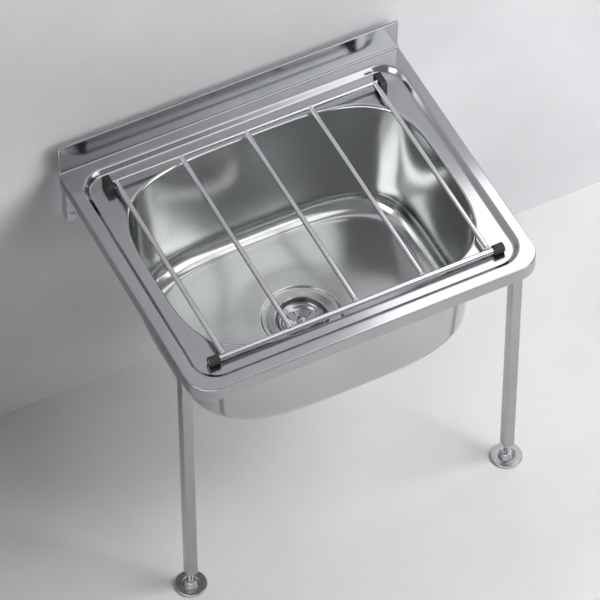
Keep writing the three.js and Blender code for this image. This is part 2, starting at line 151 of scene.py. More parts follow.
# %% Steel finishes
CLOUD_SCALE, POLISH_SCALE, GRAIN_SCALE = 7.0, 16.0, 420.0
GRAIN_STRENGTH = 0.006
GRAIN_HEIGHT = 0.05 * MM
EVEN = (1, 1, 1)
BRUSHED_ALONG_X = (0.06, 1, 1)
DRAWN_DOWN = (1, 1, 0.08)
ALONG_RODS = (0.05, 0.05, 1)  # they lie along X and along Y


def steel(name, dark, light, rough, grain):
    """Steel of two shades, with its least and greatest roughness."""
    material, tree, shader = new_finish(name, light, 1.0, rough[0])
    cloud = add_noise(tree, CLOUD_SCALE)
    tree.links.new(tint(tree, cloud, dark, light), shader.inputs["Base Color"])
    polish = add_noise(tree, POLISH_SCALE, detail=4.0)
    tree.links.new(spread(tree, polish, *rough), shader.inputs["Roughness"])
    lines = add_noise(tree, GRAIN_SCALE, detail=2.0, stretch=grain)
    add_bump(tree, shader, lines, GRAIN_STRENGTH, GRAIN_HEIGHT)
    return material


satin_steel = steel("satin_steel", (0.42, 0.425, 0.435), (0.45, 0.455, 0.465), (0.15, 0.18),
                    BRUSHED_ALONG_X)
bowl_steel = steel("drawn_steel", (0.53, 0.54, 0.54), (0.57, 0.58, 0.58), (0.15, 0.18), DRAWN_DOWN)
rod_steel = steel("polished_rod_steel", (0.62, 0.62, 0.635), (0.67, 0.67, 0.685), (0.15, 0.19),
                  ALONG_RODS)
waste_steel = steel("turned_steel", (0.46, 0.46, 0.47), (0.50, 0.50, 0.51), (0.20, 0.25), EVEN)
print("steel finishes ready")

# %% Zinc plate
SPANGLE_SCALE = 220.0
HAZE_SCALE = 60.0


def zinc_plate(name):
    """Dull zinc, with the small crystals that plating leaves."""
    material, tree, shader = new_finish(name, (0.55, 0.56, 0.58), 1.0, 0.42)
    where = tree.nodes.new("ShaderNodeTexCoord")
    spangle = tree.nodes.new("ShaderNodeTexVoronoi")
    spangle.inputs["Scale"].default_value = SPANGLE_SCALE
    tree.links.new(where.outputs["Object"], spangle.inputs["Vector"])
    tone = tint(tree, spangle.outputs["Distance"], (0.46, 0.47, 0.49), (0.60, 0.61, 0.63))
    tree.links.new(tone, shader.inputs["Base Color"])
    haze = add_noise(tree, HAZE_SCALE)
    tree.links.new(spread(tree, haze, 0.36, 0.50), shader.inputs["Roughness"])
    return material


zinc = zinc_plate("zinc_plated_steel")
print("zinc ready")

# %% Plastic and rubber
SHADE_SCALE, SHEEN_SCALE = 90.0, 150.0
TEXTURE_HEIGHT = 0.1 * MM


def moulded(name, dark, light, rough, texture, strength):
    """A moulding, with the fine texture that its mould had. Rough is its least and greatest roughness."""
    material, tree, shader = new_finish(name, light, 0.0, rough[0])
    shade = add_noise(tree, SHADE_SCALE)
    tree.links.new(tint(tree, shade, dark, light), shader.inputs["Base Color"])
    sheen = add_noise(tree, SHEEN_SCALE)
    tree.links.new(spread(tree, sheen, *rough), shader.inputs["Roughness"])
    add_bump(tree, shader, add_noise(tree, texture, detail=2.0), strength, TEXTURE_HEIGHT)
    return material


black_plastic = moulded("black_moulded_plastic", (0.012, 0.012, 0.013), (0.022, 0.022, 0.024),
                        (0.34, 0.44), texture=1400, strength=0.15)
black_rubber = moulded("black_rubber", (0.016, 0.016, 0.017), (0.030, 0.030, 0.031),
                       (0.55, 0.70), texture=900, strength=0.25)
grey_plastic = moulded("grey_washer_plastic", (0.26, 0.27, 0.28), (0.31, 0.32, 0.33),
                       (0.45, 0.55), texture=900, strength=0.12)
print("plastic and rubber ready")

# %% [markdown]
# ## From a bmesh to a piece
# Each new piece ends the same way. Doubles are merged, faces are shaded smooth, and edges sharper than a
# given angle are marked, so that the smooth shading stops there. Thin sheet gets its gauge from a
# Solidify modifier, which is easier to keep even than two surfaces drawn by hand. A Weighted Normal
# modifier then lets the large flat faces decide the shading, which keeps a pressed flat looking flat
# right up to its rounded edge.

# %% Helper that turns a bmesh into a piece
MERGE = 0.002 * MM


def make_piece(bm, name, material, body, stands_for=(), sharp=38, gauge=0.0):
    """Stands_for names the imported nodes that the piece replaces, and sharp is an angle in degrees."""
    bmesh.ops.remove_doubles(bm, verts=bm.verts[:], dist=MERGE)
    for face in bm.faces:
        face.smooth = True
    for edge in bm.edges:
        edge.smooth = edge.is_manifold and edge.calc_face_angle() < math.radians(sharp)
    mesh = bpy.data.meshes.new(name)
    bm.to_mesh(mesh)
    bm.free()
    piece = bpy.data.objects.new(name, mesh)
    scene.collection.objects.link(piece)
    mesh.materials.append(material)
    if gauge:
        wall = piece.modifiers.new("gauge", "SOLIDIFY")
        wall.thickness = gauge
        wall.offset = -1
        wall.use_even_offset = True
        wall.use_quality_normals = True
    weighted = piece.modifiers.new("weighted_normals", "WEIGHTED_NORMAL")
    weighted.keep_sharp = True
    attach(piece, body)
    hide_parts(*stands_for)
    print(name, "has", len(mesh.polygons), "faces")


# %% [markdown]
# ## Picking edges without a mouse
# In the editor the edges of a fold are picked by hand. A script has to find them, by what an operator
# says it made, by the faces that use them, or by where they lie. The rounding of edges is one helper
# too, because the bevel operator's own settings differ from the editor's.

# %% Helpers that find vertices and edges
TOUCH = 0.01 * MM


def verts_of(made):
    return [g for g in made if isinstance(g, bmesh.types.BMVert)]


def edges_within(made, verts):
    """The edges in an operator's result that run between the given vertices."""
    kept = set(verts)
    return [g for g in made if isinstance(g, bmesh.types.BMEdge) and set(g.verts) <= kept]


def open_edges(faces):
    """The edges of some faces that no other face uses."""
    return [e for e in {e for f in faces for e in f.edges} if len(e.link_faces) == 1]


def edges_between(first, second):
    """The edges that two sets of faces share."""
    return [e for e in {e for f in first for e in f.edges} if set(e.link_faces) & set(second)]


def on_line(edge, axis, value):
    """Whether an edge lies where one coordinate, 0 for X to 2 for Z, has the value."""
    return all(abs(v.co[axis] - value) < TOUCH for v in edge.verts)


# %% Helpers that round edges and turn faces
def round_off(bm, geom, size, segments, affect="EDGES", clamp=False):
    bmesh.ops.bevel(bm, geom=geom, offset=size, offset_type="OFFSET", segments=segments, profile=0.5,
                    affect=affect, material=-1, clamp_overlap=clamp)


def face_up(bm, probe):
    """Turns an open sheet so that the face nearest the probe point looks up."""
    bmesh.ops.recalc_face_normals(bm, faces=bm.faces[:])
    near = min(bm.faces, key=lambda f: (f.calc_center_median() - Vector(probe)).length)
    if near.normal.z < 0:
        bmesh.ops.reverse_faces(bm, faces=bm.faces[:])


# %% [markdown]
# ## The top: a folded and pressed sheet
# On the real sink one sheet makes the border, the step down to the drained deck, the skirt and the
# upstand with its folded-back edge. It could be pushed out of a single grid, but the round corners would
# need hundreds of hand-placed points. Here each flat starts as a plate whose corners are bevelled, insets
# make the bands that follow the same corners, and every fold is a bevelled edge, as on a press brake.

# %% Helpers for flat plates
def rounded_plate(bm, low, high, z, front_radius, back_radius, segments=14):
    """A flat face with round corners, which may have another radius at the back."""
    known = set(bm.faces)
    verts = bmesh.ops.create_grid(bm, x_segments=1, y_segments=1, size=0.5)["verts"]
    size = (high[0] - low[0], high[1] - low[1], 1)
    middle = ((high[0] + low[0]) / 2, (high[1] + low[1]) / 2, z)
    bmesh.ops.scale(bm, vec=size, verts=verts)
    bmesh.ops.translate(bm, vec=middle, verts=verts)
    front = [v for v in verts if v.co.y < middle[1]]
    back = [v for v in verts if v.co.y > middle[1]]
    for radius, corners in ((front_radius, front), (back_radius, back)):
        if radius > 0:
            round_off(bm, corners, radius, segments, affect="VERTICES")
    return next(f for f in bm.faces if f not in known)


def inset_band(bm, plate, run, drop=0.0):
    """Insets a plate's edge, lowers the middle, and returns the band between."""
    band = bmesh.ops.inset_region(bm, faces=[plate], thickness=run, use_even_offset=True,
                                  use_boundary=True)["faces"]
    bmesh.ops.translate(bm, vec=(0, 0, -drop), verts=plate.verts[:])
    return set(band)


# %% [markdown]
# ## Rings that follow an outline
# The opening is neither a rectangle nor an ellipse. A superellipse lies between the two, and one power
# says how square it is. Drawing it as a curve would work for the opening alone. Here a circle's points
# are moved along their own rays until they lie on the outline, because the bowl grows from the same
# rings, and so the deck and the bowl meet point to point.

# %% Outlines as functions of an angle
RING_POINTS = 192
BOWL_POWER = 3.7


def superellipse(inset, power=BOWL_POWER):
    half_x = BOWL_HALF.x - inset
    half_y = BOWL_HALF.y - inset

    def reach(angle):
        across = abs(math.cos(angle) / half_x)
        along = abs(math.sin(angle) / half_y)
        return (across ** power + along ** power) ** (-1 / power)
    return reach


def circle(radius):
    return lambda angle: radius


def between(first, second, share):
    return lambda angle: (1 - share) * first(angle) + share * second(angle)


# %% Helpers that place and extrude rings
def place_ring(verts, reach, z):
    """Moves a ring's points along their own rays until they lie on the outline."""
    for v in verts:
        angle = math.atan2(v.co.y, v.co.x)
        v.co = (reach(angle) * math.cos(angle), reach(angle) * math.sin(angle), z)


def first_ring(bm, reach, z):
    verts = bmesh.ops.create_circle(bm, segments=RING_POINTS, radius=1.0)["verts"]
    place_ring(verts, reach, z)
    return list({e for v in verts for e in v.link_edges})


def next_ring(bm, edges, reach, z):
    made = bmesh.ops.extrude_edge_only(bm, edges=edges)["geom"]
    verts = verts_of(made)
    place_ring(verts, reach, z)
    return edges_within(made, verts)


# %% [markdown]
# ## Pressing the deck
# One blow of the press leaves a raised border, a rounded step and a drained deck. The step could be a
# profile swept along a path, but then its ends and the flats beside it need joining. Two insets of one
# plate follow its corners by themselves, and lowering the middle between them makes the step. The flats
# are filled afterwards, round the opening, and then the step's two edges are rounded.

# %% Border and pressed recess
BORDER_SIDE = 18 * MM
BORDER_FRONT = 20 * MM
BORDER_BACK = 20 * MM
CORNER = 40 * MM
RECESS_CORNER = 43 * MM
RECESS_RUN = 8 * MM
SUPPORT = 4 * MM  # a narrow band that keeps the flat beside a fold flat

top = bmesh.new()
back_strip_y = UPSTAND_Y - 1.5 * SUPPORT
border = rounded_plate(top, (top_low.x, top_low.y), (top_high.x, back_strip_y), 0, CORNER, 0)
inset_band(top, border, SUPPORT)
recess_low = (top_low.x + BORDER_SIDE - SUPPORT, top_low.y + BORDER_FRONT - SUPPORT)
recess_high = (top_high.x - BORDER_SIDE + SUPPORT, UPSTAND_Y - BORDER_BACK + SUPPORT)
outer_corner = RECESS_CORNER + SUPPORT
recess = rounded_plate(top, recess_low, recess_high, 0, outer_corner, outer_corner)
rim_band = inset_band(top, recess, SUPPORT)
step_band = inset_band(top, recess, RECESS_RUN, RECESS_DEPTH)
deck_band = inset_band(top, recess, SUPPORT)
border_rim, deck_rim = list(border.edges), list(recess.edges)
bmesh.ops.delete(top, geom=[border, recess], context="FACES_ONLY")
print("border and recess have", len(top.faces), "faces")

# %% Fill the flats, cut the opening and press the step
PRESS_RADIUS = 2.2 * MM
FOLD_SEGMENTS = 5

opening = first_ring(top, superellipse(0), -RECESS_DEPTH)
bmesh.ops.translate(top, vec=BOWL_CENTRE, verts=list({v for e in opening for v in e.verts}))
for flat in (border_rim + open_edges(rim_band), deck_rim + opening):
    bmesh.ops.triangle_fill(top, use_beauty=True, use_dissolve=False, edges=flat, normal=(0, 0, 1))
press_edges = edges_between(rim_band, step_band) + edges_between(step_band, deck_band)
round_off(top, press_edges, PRESS_RADIUS, FOLD_SEGMENTS)
print("top sheet has", len(top.faces), "faces after pressing")

# %% [markdown]
# ## Folding the upstand and the skirt
# The sheet is folded up at the back and over at the top of the upstand, and down round the other sides.
# Strips of their own would need their ends matched. Extruding the sheet's open edges keeps it one sheet,
# and merging the points that meet at the upstand's ends closes them, as a weld does. A fold is never
# quite sharp, so each one is rounded last.

# %% Raise the upstand and fold its back edge over
CREASE = 2.5 * MM

strip_edge = [e for e in top.edges if len(e.link_faces) == 1 and on_line(e, 1, back_strip_y)]
strip = bmesh.ops.extrude_edge_only(top, edges=strip_edge)["geom"]
bmesh.ops.translate(top, vec=(0, UPSTAND_Y - back_strip_y, 0), verts=verts_of(strip))
back_edge = edges_within(strip, verts_of(strip))
rise = bmesh.ops.extrude_edge_only(top, edges=back_edge)["geom"]
bmesh.ops.translate(top, vec=(0, 0, top_high.z), verts=verts_of(rise))
hem_edge = edges_within(rise, verts_of(rise))
hem = bmesh.ops.extrude_edge_only(top, edges=hem_edge)["geom"]
bmesh.ops.translate(top, vec=(0, RETURN, 0), verts=verts_of(hem))
round_off(top, back_edge, CREASE, FOLD_SEGMENTS)
print("with the upstand it has", len(top.faces), "faces")

# %% Fold down the skirt and close the upstand's ends
FOLD = 2.2 * MM
RIM_LEVEL = -1 * MM  # above this lie the outer edges, and below it the opening
SKIRT_END_Y = UPSTAND_Y + SHEET
CREASE_TOP = CREASE + TOUCH
CREASE_FRONT = UPSTAND_Y - CREASE + TOUCH

rim = [e for e in top.edges if len(e.link_faces) == 1]
folds = [e for e in rim if max(v.co.z for v in e.verts) > RIM_LEVEL and not on_line(e, 1, top_high.y)]
sides = verts_of(bmesh.ops.extrude_edge_only(top, edges=folds)["geom"])
for v in sides:
    if v.co.y < UPSTAND_Y - TOUCH:
        v.co = (v.co.x, SKIRT_END_Y if v.co.y > CREASE_FRONT else v.co.y, top_low.z)
    else:
        v.co.y = top_high.y
bmesh.ops.remove_doubles(top, verts=top.verts[:], dist=TOUCH)
skirt_fold = [e for e in folds if e.is_valid and max(v.co.y for v in e.verts) < CREASE_FRONT]
hem_fold = [e for e in top.edges if on_line(e, 1, UPSTAND_Y) and on_line(e, 2, top_high.z)]
hem_fold += [e for e in folds if e.is_valid and max(v.co.z for v in e.verts) > CREASE_TOP]
for fold in (skirt_fold, hem_fold):
    round_off(top, fold, FOLD, FOLD_SEGMENTS)
print("folded top has", len(top.faces), "faces")

# %% Give the sheet its gauge
left_border = (top_low.x + BORDER_SIDE / 2, -0.3, 0)
face_up(top, left_border)
make_piece(top, "folded_top", satin_steel, "sink", ["sink_top"], gauge=SHEET)

# %% [markdown]
# ## The hanging strip behind the deck
# A sink on wall brackets needs something stiff to hang by, so a strip closes the skirt at the back, and
# the brackets bear against it. It could be one more fold of the sheet, but that would have to pass the
# upstand's crease, so it is a bar of its own between the skirt's ends. Its edges are broken, as a sheared
# strip's are, because a block with knife edges catches no light along them.

# %% A strip between the ends of the skirt
SHEARED_EDGE = 0.3 * MM
strip_low = Vector((top_low.x + SHEET, UPSTAND_Y - SHEET, top_low.z))
strip_high = Vector((top_high.x - SHEET, UPSTAND_Y, -SHEET))
hanging = bmesh.new()
block = bmesh.ops.create_cube(hanging, size=1.0)["verts"]
bmesh.ops.scale(hanging, vec=strip_high - strip_low, verts=block)
bmesh.ops.translate(hanging, vec=(strip_high + strip_low) / 2, verts=block)
round_off(hanging, hanging.edges[:], SHEARED_EDGE, segments=2)
make_piece(hanging, "hanging_strip", satin_steel, "sink")

# %% [markdown]
# ## The bowl: a deep drawing
# A press draws the bowl from a flat blank, so its outline changes slowly from a squarish rim to a rounder
# floor, its walls lean by a few degrees and every change of direction is a smooth radius. Sculpting it
# from a cube with subdivision rounds everything a little and nothing exactly. Growing it ring by ring
# gives each radius its real size: a circle is placed on the flange's outline, and each further ring is
# extruded from the last and moved along its own rays to the next outline.

# %% Sizes of the bowl
LIP_RADIUS = 5 * MM
DRAFT = 9.2 * MM
BOTTOM_RADIUS = 33 * MM
FLOOR_FALL = 10 * MM
SUMP_DEPTH = 3 * MM
SUMP_RADIUS = 65 * MM
BORE = 43 * MM
DECK_GAP = 0.25 * MM
floor_edge_z = SUMP_Z + SUMP_DEPTH + FLOOR_FALL
wall_foot = LIP_RADIUS + DRAFT
wall_foot_z = floor_edge_z + BOTTOM_RADIUS
joggle_z = LIP_Z - SHEET - DECK_GAP
print("bowl floor in mm: from", round(floor_edge_z / MM), "down to", round(SUMP_Z / MM))

# %% The flange and the joggle up to the lip
JOGGLE = (  # how far outside the opening, and at which height
    (1.2 * MM, joggle_z),
    (0.3 * MM, joggle_z + 0.4 * MM),
    (0, LIP_Z - 0.6 * MM),
    (0, LIP_Z),
)
bowl = bmesh.new()
ring = first_ring(bowl, superellipse(-FLANGE), joggle_z)
for outside, z in JOGGLE:
    ring = next_ring(bowl, ring, superellipse(-outside), z)
print("flange and joggle have", len(bowl.faces), "faces")

# %% The lip and the walls
LIP_STEPS = 8
WALL_STEPS = 10
for k in range(1, LIP_STEPS + 1):
    turn = k / LIP_STEPS * math.pi / 2
    reach = superellipse(LIP_RADIUS * math.sin(turn))
    ring = next_ring(bowl, ring, reach, LIP_Z - LIP_RADIUS * (1 - math.cos(turn)))
for k in range(1, WALL_STEPS + 1):
    down = k / WALL_STEPS
    z = LIP_Z - LIP_RADIUS + down * (wall_foot_z - LIP_Z + LIP_RADIUS)
    ring = next_ring(bowl, ring, superellipse(LIP_RADIUS + DRAFT * down), z)
print("bowl walls have", len(bowl.faces), "faces")

# %% The bottom radius and the floor
BEND_STEPS = 14
FLOOR_STEPS = 12
POWER_DROP = 0.30  # the outline grows rounder round the bend
FLOOR_DISH = 1.25  # 1 would be a straight fall to the sump
SUMP_EASE = 3 * MM
for k in range(1, BEND_STEPS + 1):
    turn = k / BEND_STEPS * math.pi / 2
    inset = wall_foot + BOTTOM_RADIUS * (1 - math.cos(turn))
    reach = superellipse(inset, BOWL_POWER - POWER_DROP * k / BEND_STEPS)
    ring = next_ring(bowl, ring, reach, wall_foot_z - BOTTOM_RADIUS * math.sin(turn))
floor_outline = reach
for k in range(1, FLOOR_STEPS + 1):
    share = k / FLOOR_STEPS
    reach = between(floor_outline, circle(SUMP_RADIUS + SUMP_EASE), share)
    ring = next_ring(bowl, ring, reach, floor_edge_z - FLOOR_FALL * share ** FLOOR_DISH)
print("with its floor the bowl has", len(bowl.faces), "faces")

# %% The sump
LEDGE = (  # radius and drop in mm, round the sump's edge and across its floor
    (67, 0.15), (66, 0.5), (65.2, 1.2), (64.6, 2.1),
    (63.8, 2.7), (62.6, 2.95), (61, 3), (50, 3),
)
ledge_z = floor_edge_z - FLOOR_FALL
for radius, drop in LEDGE:
    ring = next_ring(bowl, ring, circle(radius * MM), ledge_z - drop * MM)
ring = next_ring(bowl, ring, circle(BORE), SUMP_Z)
bmesh.ops.translate(bowl, vec=BOWL_CENTRE, verts=bowl.verts[:])
right_floor = (0.15, BOWL_CENTRE.y, floor_edge_z)
face_up(bowl, right_floor)
make_piece(bowl, "drawn_bowl", bowl_steel, "sink",
           ["bowl", "bowl_bottom", "bowl_sump"], sharp=50, gauge=SHEET)

# %% [markdown]
# ## Turned pieces
# The waste, the strainer basket, its knob and the feet are all turned or spun round an axis. Stacked
# cylinders would leave hard steps between them. Spinning one half outline gives the whole form at once,
# and where an edge would be knife sharp, a small bevel breaks it, as a maker does on the lathe.

# %% Helper that spins a half outline
SLIVER = 0.001 * MM
RING_ANGLE = math.radians(20)  # a sharper ring than this is softened


def turned(profile, centre, steps, soften=0.0, closed=True):
    """Spins points given as radius and height in mm. An open outline ends on the axis or is a sheet."""
    bm = bmesh.new()
    verts = [bm.verts.new((r * MM, 0, z * MM)) for r, z in profile]
    pairs = list(zip(verts, verts[1:]))
    if closed:
        pairs.append((verts[-1], verts[0]))
    edges = [bm.edges.new(pair) for pair in pairs]
    bmesh.ops.spin(bm, geom=verts + edges, cent=(0, 0, 0), axis=(0, 0, 1), dvec=(0, 0, 0),
                   angle=2 * math.pi, steps=steps, use_merge=True)
    bmesh.ops.remove_doubles(bm, verts=bm.verts[:], dist=MERGE)
    bmesh.ops.dissolve_degenerate(bm, edges=bm.edges[:], dist=SLIVER)
    bmesh.ops.recalc_face_normals(bm, faces=bm.faces[:])
    if soften:
        rings = [e for e in bm.edges if e.is_manifold and e.calc_face_angle() > RING_ANGLE
                 and abs(e.verts[0].co.z - e.verts[1].co.z) < SLIVER]
        round_off(bm, rings, soften * MM, segments=3, clamp=True)
    bmesh.ops.translate(bm, vec=centre, verts=bm.verts[:])
    return bm


# %% The waste fitting
WASTE_CROWN = 1.9  # the flange's highest point in the outline below
waste_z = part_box("waste_body")[1].z / MM - WASTE_CROWN
waste_profile = [
    (57, 0.2), (56.4, 1.2), (44.5, WASTE_CROWN), (42.6, 1.2), (41.5, -0.8), (40, -8),
    (38.2, -9.6), (34.6, -11.9), (33.4, -12.8), (33, -14), (32, -48), (29, -51),
    (21.5, -53), (19.5, -55), (19.5, -88), (23.8, -88), (23.8, -58), (25.5, -55),
    (31, -53), (34, -49), (35, -16.2), (41.6, -9.6), (42.6, -4), (42.7, -1), (43.2, 0),
]
waste_centre = BOWL_CENTRE + Vector((0, 0, waste_z * MM))
waste = turned(waste_profile, waste_centre, steps=96, soften=0.35)
make_piece(waste, "strainer_waste", waste_steel, "sink", ["waste_body"], sharp=50)

# %% [markdown]
# ## The strainer basket
# The basket is pressed from thin sheet and its slots are punched out. Cutting twelve slots with
# booleans works but leaves ragged shading. Here the sheet is spun with four faces to each slot pitch, and
# each fourth face in the slotted band is inset and taken away, which leaves a web between the slots.

# %% Spin the basket
SLOTS = 12
FACES_PER_SLOT = 4
BASKET_CROWN = 2.6  # the rim's highest point in the outline below
basket_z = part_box("basket")[1].z / MM - BASKET_CROWN
basket_profile = [
    (3.2, -8), (12, -8), (14, -7.4), (16.6, -6.3), (17.4, -6.01), (28.2, -2.15),
    (30.0, -1.5), (31.6, -0.4), (33.4, 1.2), (34.8, 2.2), (36.0, BASKET_CROWN), (37.0, 2.3),
]
basket = turned(basket_profile, Vector(), steps=SLOTS * FACES_PER_SLOT, closed=False)
cone_side = (0.023, 0, -0.004)
face_up(basket, cone_side)
print("basket sheet has", len(basket.faces), "faces")

# %% Punch the slots
SLOT_BAND = (20, 27)  # only the cone's long faces have their middle between these radii, in mm
WEB_EDGE = 0.25 * MM
BASKET_SHEET = 1.2 * MM


def in_slot(face):
    middle = face.calc_center_median()
    turn = math.degrees(math.atan2(middle.y, middle.x)) % (360 / SLOTS)
    radius = math.hypot(middle.x, middle.y) / MM
    return SLOT_BAND[0] < radius < SLOT_BAND[1] and turn < 360 / SLOTS / FACES_PER_SLOT


slots = [f for f in basket.faces if in_slot(f)]
bmesh.ops.inset_individual(basket, faces=slots, thickness=WEB_EDGE, use_even_offset=True)
bmesh.ops.delete(basket, geom=slots, context="FACES_ONLY")
basket_centre = BOWL_CENTRE + Vector((0, 0, basket_z * MM))
bmesh.ops.translate(basket, vec=basket_centre, verts=basket.verts[:])
make_piece(basket, "slotted_basket", waste_steel, "strainer_basket", ["basket"],
           gauge=BASKET_SHEET)
print("punched", len(slots), "slots")

# %% The knob that lifts it
knob_profile = [
    (0, 12.5), (2.5, 12.3), (4.6, 11.8), (6.5, 11.0), (8.1, 9.8), (9.2, 8.2), (9.5, 6.4),
    (8.6, 5.2), (4.2, 4.4), (4.2, -7.7), (2.9, -7.7), (2.9, -24.1), (0, -24.1),
]
knob = turned(knob_profile, basket_centre, steps=64, closed=False)
make_piece(knob, "basket_lift_knob", waste_steel, "strainer_basket",
           ["basket_knob"], sharp=50)

# %% [markdown]
# ## The bucket grille
# Five bars are welded between a thin back rod, which turns in two plastic blocks, and a thicker front rod,
# whose rubber sleeves rest on the deck. A rod could be a curve with a bevel depth, but a cylinder with its
# end edges bevelled gives cleaner ends. Each weld is a short flared collar, as a filler bead leaves.

# %% Helper that makes a rod
def rod(bm, start, end, radius, chamfer, segments=48, end_radius=None):
    start, end = Vector(start), Vector(end)
    along = end - start
    turn = along.to_track_quat("Z", "Y").to_matrix().to_4x4()
    place = Matrix.Translation((start + end) / 2) @ turn
    made = bmesh.ops.create_cone(bm, cap_ends=True, cap_tris=False, segments=segments, radius1=radius,
                                 radius2=end_radius or radius, depth=along.length, matrix=place)
    if chamfer:
        caps = [f for f in bm.faces if len(f.verts) == segments and f.verts[0] in made["verts"]]
        round_off(bm, [e for f in caps for e in f.edges], chamfer, segments=2)


# %% Back rod and front rod
for name, chamfer in (("back_rod", 0.5 * MM), ("front_rod", 0.8 * MM)):
    low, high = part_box(name)
    y, z, radius = (low.y + high.y) / 2, (low.z + high.z) / 2, (high.z - low.z) / 2
    bm = bmesh.new()
    rod(bm, (low.x, y, z), (high.x, y, z), radius, chamfer, segments=64)
    make_piece(bm, f"grille_{name}", rod_steel, "grille", [name])

# %% Bars and welds
WELD = 2.2 * MM
FLARE = 0.9 * MM
BITE = 0.6 * MM  # how far ends and welds run into a rod
BACK_BITE = 0.8 * MM
BAR_CHAMFER = 0.5 * MM

back_low, back_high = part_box("back_rod")
front_low, front_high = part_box("front_rod")
for i in range(1, 6):
    low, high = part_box(f"grille_bar_{i}")
    x, radius = (low.x + high.x) / 2, (high.x - low.x) / 2
    z = (back_low.z + back_high.z) / 2
    bm = bmesh.new()
    rod(bm, (x, low.y - BITE, z), (x, back_low.y + BACK_BITE, z), radius, BAR_CHAMFER)
    rod(bm, (x, back_low.y - WELD, z), (x, back_low.y + BITE, z), radius, 0,
        end_radius=radius + FLARE)
    rod(bm, (x, front_high.y - BITE, z), (x, front_high.y + WELD, z), radius + FLARE, 0,
        end_radius=radius)
    make_piece(bm, f"bar_{i}", rod_steel, "grille", [f"grille_bar_{i}"])

# %% Rubber sleeves on the front rod
SLEEVE_EASE = 0.05  # in mm, as the outlines of turned pieces are
SLEEVE_ROUND = 0.9
on_its_side = Matrix.Rotation(math.pi / 2, 3, "Y")
for side in ("left", "right"):
    low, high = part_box(f"{side}_rod_cap")
    half_length = (high.x - low.x) / MM / 2
    outer = (high.z - low.z) / 2 / MM
    bore = (front_high.z - front_low.z) / 2 / MM + SLEEVE_EASE
    sleeve_profile = [(bore, -half_length), (outer, -half_length), (outer, half_length),
                      (bore, half_length)]
    sleeve = turned(sleeve_profile, Vector(), steps=56, soften=SLEEVE_ROUND)
    bmesh.ops.rotate(sleeve, cent=(0, 0, 0), matrix=on_its_side, verts=sleeve.verts[:])
    bmesh.ops.translate(sleeve, vec=(low + high) / 2, verts=sleeve.verts[:])
    make_piece(sleeve, f"{side}_rubber_sleeve", black_rubber, "grille",
               [f"{side}_rod_cap"], sharp=50)

# %% [markdown]
# ## Hinge blocks
# Each block is a small moulding with its two top corners cut off, and the back rod turns in its bore. A
# bevelled cube has no bore. Filling the flat between a plate's outline and a circle gives the side view
# with its hole, and extruding that across the block's width makes the moulding. It is drawn lying down,
# as a plate is, and then stood up.

# %% Two bored blocks
BLOCK_CHAMFER = 4 * MM
BLOCK_ROUND = 0.6 * MM
PIN_PLAY = 0.3 * MM
RIM_ANGLE = math.radians(60)

hinge = next(j for j in frame["joints"] if j["name"] == "grille_hinge")
print("grille turns about", hinge.get("axis"), "through", hinge.get("pos_m"))
pin = ((back_low.y + back_high.y) / 2, (back_low.z + back_high.z) / 2, 0)
pin_radius = (back_high.z - back_low.z) / 2
stood_up = Matrix(((0, 0, 1), (1, 0, 0), (0, 1, 0))).to_4x4()
for side in ("left", "right"):
    low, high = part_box(f"{side}_hinge_block")
    bm = bmesh.new()
    plate = rounded_plate(bm, (low.y, low.z), (high.y, high.z), 0, 0, 0)
    top_corners = [v for v in plate.verts if v.co.y > (low.z + high.z) / 2]
    round_off(bm, top_corners, BLOCK_CHAMFER, segments=1, affect="VERTICES")
    plate = bm.faces[:][0]
    sides = list(plate.edges)
    bmesh.ops.delete(bm, geom=[plate], context="FACES_ONLY")
    hole = bmesh.ops.create_circle(bm, segments=40, radius=pin_radius + PIN_PLAY)["verts"]
    bmesh.ops.translate(bm, vec=pin, verts=hole)
    bore = list({e for v in hole for e in v.link_edges})
    bmesh.ops.triangle_fill(bm, use_beauty=True, use_dissolve=False, edges=sides + bore,
                            normal=(0, 0, 1))
    grown = bmesh.ops.extrude_face_region(bm, geom=bm.faces[:])["geom"]
    bmesh.ops.translate(bm, vec=(0, 0, high.x - low.x), verts=verts_of(grown))
    bmesh.ops.recalc_face_normals(bm, faces=bm.faces[:])
    rims = [e for e in bm.edges if e.is_manifold and e.calc_face_angle() > RIM_ANGLE]
    round_off(bm, rims, BLOCK_ROUND, segments=3)
    bmesh.ops.transform(bm, matrix=stood_up, verts=bm.verts[:])
    bmesh.ops.translate(bm, vec=(low.x, 0, 0), verts=bm.verts[:])
    make_piece(bm, f"{side}_bored_block", black_plastic, "sink",
               [f"{side}_hinge_block"])

# %% [markdown]
# ## Legs and feet
# The legs are square tube. A tube is an extruded plate with its inside taken out, so its corners keep one
# even radius from end to end. The feet are turned discs with a raised hub, and a stud screws into the leg.

# %% Square tube legs
LEG_CORNER = 1.6 * MM
for side in ("left", "right"):
    low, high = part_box(f"{side}_leg")
    bm = bmesh.new()
    plate = rounded_plate(bm, (low.x, low.y), (high.x, high.y), low.z, LEG_CORNER, LEG_CORNER,
                          segments=6)
    inset_band(bm, plate, SHEET)
    bmesh.ops.delete(bm, geom=[plate], context="FACES_ONLY")
    grown = bmesh.ops.extrude_face_region(bm, geom=bm.faces[:])["geom"]
    bmesh.ops.translate(bm, vec=(0, 0, high.z - low.z), verts=verts_of(grown))
    bmesh.ops.recalc_face_normals(bm, faces=bm.faces[:])
    make_piece(bm, f"{side}_tube_leg", satin_steel, "sink", [f"{side}_leg"])

